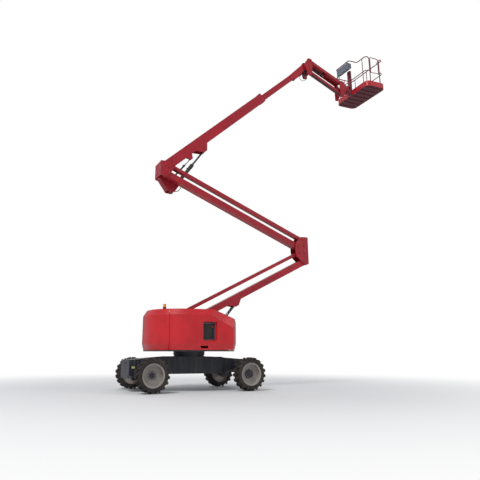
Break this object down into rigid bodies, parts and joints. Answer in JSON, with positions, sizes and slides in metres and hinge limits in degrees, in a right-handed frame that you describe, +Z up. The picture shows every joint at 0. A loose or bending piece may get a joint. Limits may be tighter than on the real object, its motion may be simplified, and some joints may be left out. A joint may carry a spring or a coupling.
{
  "type": "articulating boom lift",
  "caption": "Self-propelled work platform with a folding riser, a telescopic boom and a jib that hold a railed platform above a four-wheeled chassis.",
  "frame": {"origin": "on the ground under the slewing axis", "axes": "+X from the slewing axis towards the platform, +Y towards the far side, +Z up"},
  "size_m": [8.68, 2.37, 11.098],
  "materials": {
    "cover_red": "gloss",
    "arm_red": "satin",
    "frame_dark": "satin",
    "tyre": "matte",
    "rim": "satin",
    "cylinder_black": "satin",
    "rod_chrome": "polished",
    "platform_maroon": "satin",
    "console_grey": "satin",
    "block_dark": "rough",
    "beacon_amber": "gloss",
    "lamp": "gloss"
  },
  "bodies": {
    "chassis": {"chassis_frame": "frame_dark", "fixed_axle": "frame_dark", "steer_axle": "frame_dark", "chassis_lamp_near": "lamp", "chassis_lamp_far": "lamp", "slew_ring": "frame_dark"},
    "steer_knuckle_near": {"steer_knuckle_near": "frame_dark"},
    "steer_knuckle_far": {"steer_knuckle_far": "frame_dark"},
    "tie_rod": {"tie_rod": "frame_dark"},
    "turntable": {"turntable_frame": "frame_dark", "tail_cover": "cover_red", "counterweight": "block_dark", "battery_block": "block_dark", "power_unit_block": "block_dark", "ground_controls": "console_grey", "beacon": "beacon_amber"},
    "side_door_near": {"side_door_near": "cover_red"},
    "side_door_far": {"side_door_far": "cover_red"},
    "lower_arm": {"lower_arm": "arm_red"},
    "lower_link": {"lower_link": "arm_red"},
    "elbow": {"elbow_frame": "arm_red"},
    "upper_arm": {"upper_arm": "arm_red"},
    "upper_link": {"upper_link": "arm_red"},
    "knuckle": {"knuckle_frame": "arm_red"},
    "main_boom": {"main_boom": "arm_red"},
    "fly_boom": {"fly_boom": "arm_red"},
    "jib_base": {"jib_base": "arm_red"},
    "jib_arm": {"jib_arm": "arm_red"},
    "jib_lower_arm": {"jib_lower_arm": "arm_red"},
    "jib_level_rod": {"jib_level_rod": "cylinder_black"},
    "platform_mount": {"platform_mount": "arm_red"},
    "platform": {"platform_support": "platform_maroon", "platform_floor": "platform_maroon", "toe_board": "platform_maroon", "platform_rails": "platform_maroon", "control_console": "console_grey"},
    "platform_gate": {"platform_gate": "platform_maroon"},
    "wheel_steer_near": {"tyre_steer_near": "tyre", "rim_steer_near": "rim"},
    "wheel_steer_far": {"tyre_steer_far": "tyre", "rim_steer_far": "rim"},
    "wheel_fixed_near": {"tyre_fixed_near": "tyre", "rim_fixed_near": "rim"},
    "wheel_fixed_far": {"tyre_fixed_far": "tyre", "rim_fixed_far": "rim"},
    "riser_barrel": {"riser_cylinder_barrel": "cylinder_black"},
    "riser_rod": {"riser_cylinder_rod": "rod_chrome"},
    "lift_barrel": {"lift_cylinder_barrel": "cylinder_black"},
    "lift_rod": {"lift_cylinder_rod": "rod_chrome"},
    "level_barrel": {"level_cylinder_barrel": "cylinder_black"},
    "level_rod": {"level_cylinder_rod": "rod_chrome"},
    "jib_barrel": {"jib_cylinder_barrel": "cylinder_black"},
    "jib_rod": {"jib_cylinder_rod": "rod_chrome"},
    "slave_barrel": {"slave_cylinder_barrel": "cylinder_black"},
    "slave_rod": {"slave_cylinder_rod": "rod_chrome"}
  },
  "joints": [
    {"name": "steer", "type": "hinge", "parent": "chassis", "child": "steer_knuckle_near", "pos_m": [-1.3, -0.745, 0.415], "axis": [0, 0, 1], "range_deg": [-35, 35]},
    {"name": "steer_far", "type": "hinge", "parent": "chassis", "child": "steer_knuckle_far", "pos_m": [-1.3, 0.745, 0.415], "axis": [0, 0, 1], "range_deg": [-35.5, 35.5]},
    {"name": "tie_rod_turn", "type": "hinge", "parent": "steer_knuckle_near", "child": "tie_rod", "pos_m": [-1.11, -0.745, 0.352], "axis": [0, 0, 1], "range_deg": [-35.5, 35.5]},
    {"name": "wheel_spin_steer_near", "type": "hinge", "parent": "steer_knuckle_near", "child": "wheel_steer_near", "pos_m": [-1.3, -1.03, 0.415], "axis": [0, 1, 0], "continuous": true},
    {"name": "wheel_spin_steer_far", "type": "hinge", "parent": "steer_knuckle_far", "child": "wheel_steer_far", "pos_m": [-1.3, 1.03, 0.415], "axis": [0, 1, 0], "continuous": true},
    {"name": "wheel_spin_fixed_near", "type": "hinge", "parent": "chassis", "child": "wheel_fixed_near", "pos_m": [1.3, -1.03, 0.415], "axis": [0, 1, 0], "continuous": true},
    {"name": "wheel_spin_fixed_far", "type": "hinge", "parent": "chassis", "child": "wheel_fixed_far", "pos_m": [1.3, 1.03, 0.415], "axis": [0, 1, 0], "continuous": true},
    {"name": "slew", "type": "hinge", "parent": "chassis", "child": "turntable", "pos_m": [0, 0, 0.975], "axis": [0, 0, 1], "continuous": true},
    {"name": "door_near_hinge", "type": "hinge", "parent": "turntable", "child": "side_door_near", "pos_m": [-0.205, -0.455, 1.95], "axis": [-1, 0, 0], "range_deg": [0, 65]},
    {"name": "door_far_hinge", "type": "hinge", "parent": "turntable", "child": "side_door_far", "pos_m": [-0.205, 0.455, 1.95], "axis": [1, 0, 0], "range_deg": [0, 65]},
    {"name": "riser_lift", "type": "hinge", "parent": "turntable", "child": "lower_arm", "pos_m": [-0.485, -0.14, 1.5265], "axis": [0, -1, 0], "range_deg": [-25.5, 33]},
    {"name": "lower_link_turn", "type": "hinge", "parent": "turntable", "child": "lower_link", "pos_m": [-0.62, -0.14, 1.8065], "axis": [0, -1, 0], "range_deg": [-26, 33.5]},
    {"name": "elbow_level", "type": "hinge", "parent": "lower_arm", "child": "elbow", "pos_m": [3.56017, -0.14, 3.58762], "axis": [0, -1, 0], "range_deg": [-33.5, 26]},
    {"name": "upper_arm_turn", "type": "hinge", "parent": "elbow", "child": "upper_arm", "pos_m": [3.38017, -0.14, 4.06712], "axis": [0, -1, 0], "range_deg": [-28.58, 22.2]},
    {"name": "upper_link_turn", "type": "hinge", "parent": "elbow", "child": "upper_link", "pos_m": [3.55517, -0.14, 4.29612], "axis": [0, -1, 0], "range_deg": [-28.58, 22.2]},
    {"name": "knuckle_level", "type": "hinge", "parent": "upper_arm", "child": "knuckle", "pos_m": [-0.8698, -0.14, 5.87112], "axis": [0, -1, 0], "range_deg": [-22.2, 28.58]},
    {"name": "riser_barrel_turn", "type": "hinge", "parent": "turntable", "child": "riser_barrel", "pos_m": [0.35, -0.14, 1.12], "axis": [0, -1, 0], "range_deg": [-28.42, 36.63]},
    {"name": "riser_rod_slide", "type": "slide", "parent": "riser_barrel", "child": "riser_rod", "axis": [0.6404, 0, 0.7681], "range_m": [-0.3932, 0.5059]},
    {"name": "boom_luff", "type": "hinge", "parent": "knuckle", "child": "main_boom", "pos_m": [-0.8148, 0.15, 6.06512], "axis": [0, -1, 0], "range_deg": [-41.7, 32.8]},
    {"name": "telescope", "type": "slide", "parent": "main_boom", "child": "fly_boom", "axis": [0.7466, 0, 0.6652], "range_m": [-1.45, 0.35]},
    {"name": "lift_barrel_turn", "type": "hinge", "parent": "knuckle", "child": "lift_barrel", "pos_m": [-0.6, 0.16, 5.475], "axis": [0, -1, 0], "range_deg": [-34.49, 27.23]},
    {"name": "lift_rod_slide", "type": "slide", "parent": "lift_barrel", "child": "lift_rod", "axis": [0.5823, 0, 0.813], "range_m": [-0.387, 0.3065]},
    {"name": "level_barrel_turn", "type": "hinge", "parent": "knuckle", "child": "level_barrel", "pos_m": [-0.56, 0.072, 5.88], "axis": [0, -1, 0], "range_deg": [-44.08, 34.78]},
    {"name": "level_rod_slide", "type": "slide", "parent": "level_barrel", "child": "level_rod", "axis": [0.6236, 0, 0.7818], "range_m": [-0.2189, 0.1743]},
    {"name": "jib_base_level", "type": "hinge", "parent": "fly_boom", "child": "jib_base", "pos_m": [4.16047, 0.15, 10.63989], "axis": [0, -1, 0], "range_deg": [-33.3, 42.2]},
    {"name": "slave_barrel_turn", "type": "hinge", "parent": "fly_boom", "child": "slave_barrel", "pos_m": [3.72978, 0.15, 10.07402], "axis": [0, -1, 0], "range_deg": [-11.34, 9.03]},
    {"name": "slave_rod_slide", "type": "slide", "parent": "slave_barrel", "child": "slave_rod", "axis": [0.7758, 0, 0.631], "range_m": [-0.101, 0.1257]},
    {"name": "jib_luff", "type": "hinge", "parent": "jib_base", "child": "jib_arm", "pos_m": [4.31046, 0.15, 10.85789], "axis": [0, -1, 0], "range_deg": [-42, 85]},
    {"name": "jib_lower_turn", "type": "hinge", "parent": "jib_base", "child": "jib_lower_arm", "pos_m": [4.31046, 0.15, 10.50489], "axis": [0, -1, 0], "range_deg": [-42.5, 85.5]},
    {"name": "jib_level_rod_turn", "type": "hinge", "parent": "jib_base", "child": "jib_level_rod", "pos_m": [4.31046, 0.028, 10.33589], "axis": [0, -1, 0], "range_deg": [-42.5, 85.5]},
    {"name": "platform_level", "type": "hinge", "parent": "jib_arm", "child": "platform_mount", "pos_m": [5.60055, 0.15, 10.26452], "axis": [0, -1, 0], "range_deg": [-85.5, 42.5]},
    {"name": "jib_barrel_turn", "type": "hinge", "parent": "jib_base", "child": "jib_barrel", "pos_m": [4.35546, 0.15, 10.72289], "axis": [0, -1, 0], "range_deg": [-44.39, 89.33]},
    {"name": "jib_rod_slide", "type": "slide", "parent": "jib_barrel", "child": "jib_rod", "axis": [0.9286, 0, -0.371], "range_m": [-0.0877, 0.1673]},
    {"name": "platform_rotate", "type": "hinge", "parent": "platform_mount", "child": "platform", "pos_m": [5.96, 0.15, 9.982], "axis": [0, 0, 1], "range_deg": [-80, 80]},
    {"name": "gate_swing", "type": "hinge", "parent": "platform", "child": "platform_gate", "pos_m": [6.34, -0.733, 11.082], "axis": [0, 0, 1], "range_deg": [0, 90]}
  ],
  "couplings": [
    {"joint": "steer_far", "follows": "steer", "ratio": 1},
    {"joint": "tie_rod_turn", "follows": "steer", "ratio": -1},
    {"joint": "lower_link_turn", "follows": "riser_lift", "ratio": 1},
    {"joint": "elbow_level", "follows": "riser_lift", "ratio": -1},
    {"joint": "upper_arm_turn", "follows": "riser_lift", "ratio": -0.851},
    {"joint": "upper_link_turn", "follows": "riser_lift", "ratio": -0.851},
    {"joint": "knuckle_level", "follows": "riser_lift", "ratio": 0.851},
    {"joint": "riser_barrel_turn", "follows": "riser_lift", "ratio": 1.095},
    {"joint": "riser_rod_slide", "follows": "riser_lift", "m_per_rad": 0.861},
    {"joint": "lift_barrel_turn", "follows": "boom_luff", "ratio": 0.815},
    {"joint": "lift_rod_slide", "follows": "boom_luff", "m_per_rad": 0.518},
    {"joint": "level_barrel_turn", "follows": "boom_luff", "ratio": 1.045},
    {"joint": "level_rod_slide", "follows": "boom_luff", "m_per_rad": 0.287},
    {"joint": "jib_base_level", "follows": "boom_luff", "ratio": -1},
    {"joint": "slave_barrel_turn", "follows": "boom_luff", "ratio": 0.26},
    {"joint": "slave_rod_slide", "follows": "boom_luff", "m_per_rad": -0.159},
    {"joint": "jib_lower_turn", "follows": "jib_luff", "ratio": 1},
    {"joint": "jib_level_rod_turn", "follows": "jib_luff", "ratio": 1},
    {"joint": "platform_level", "follows": "jib_luff", "ratio": -1},
    {"joint": "jib_barrel_turn", "follows": "jib_luff", "ratio": 1.045},
    {"joint": "jib_rod_slide", "follows": "jib_luff", "m_per_rad": 0.106}
  ]
}
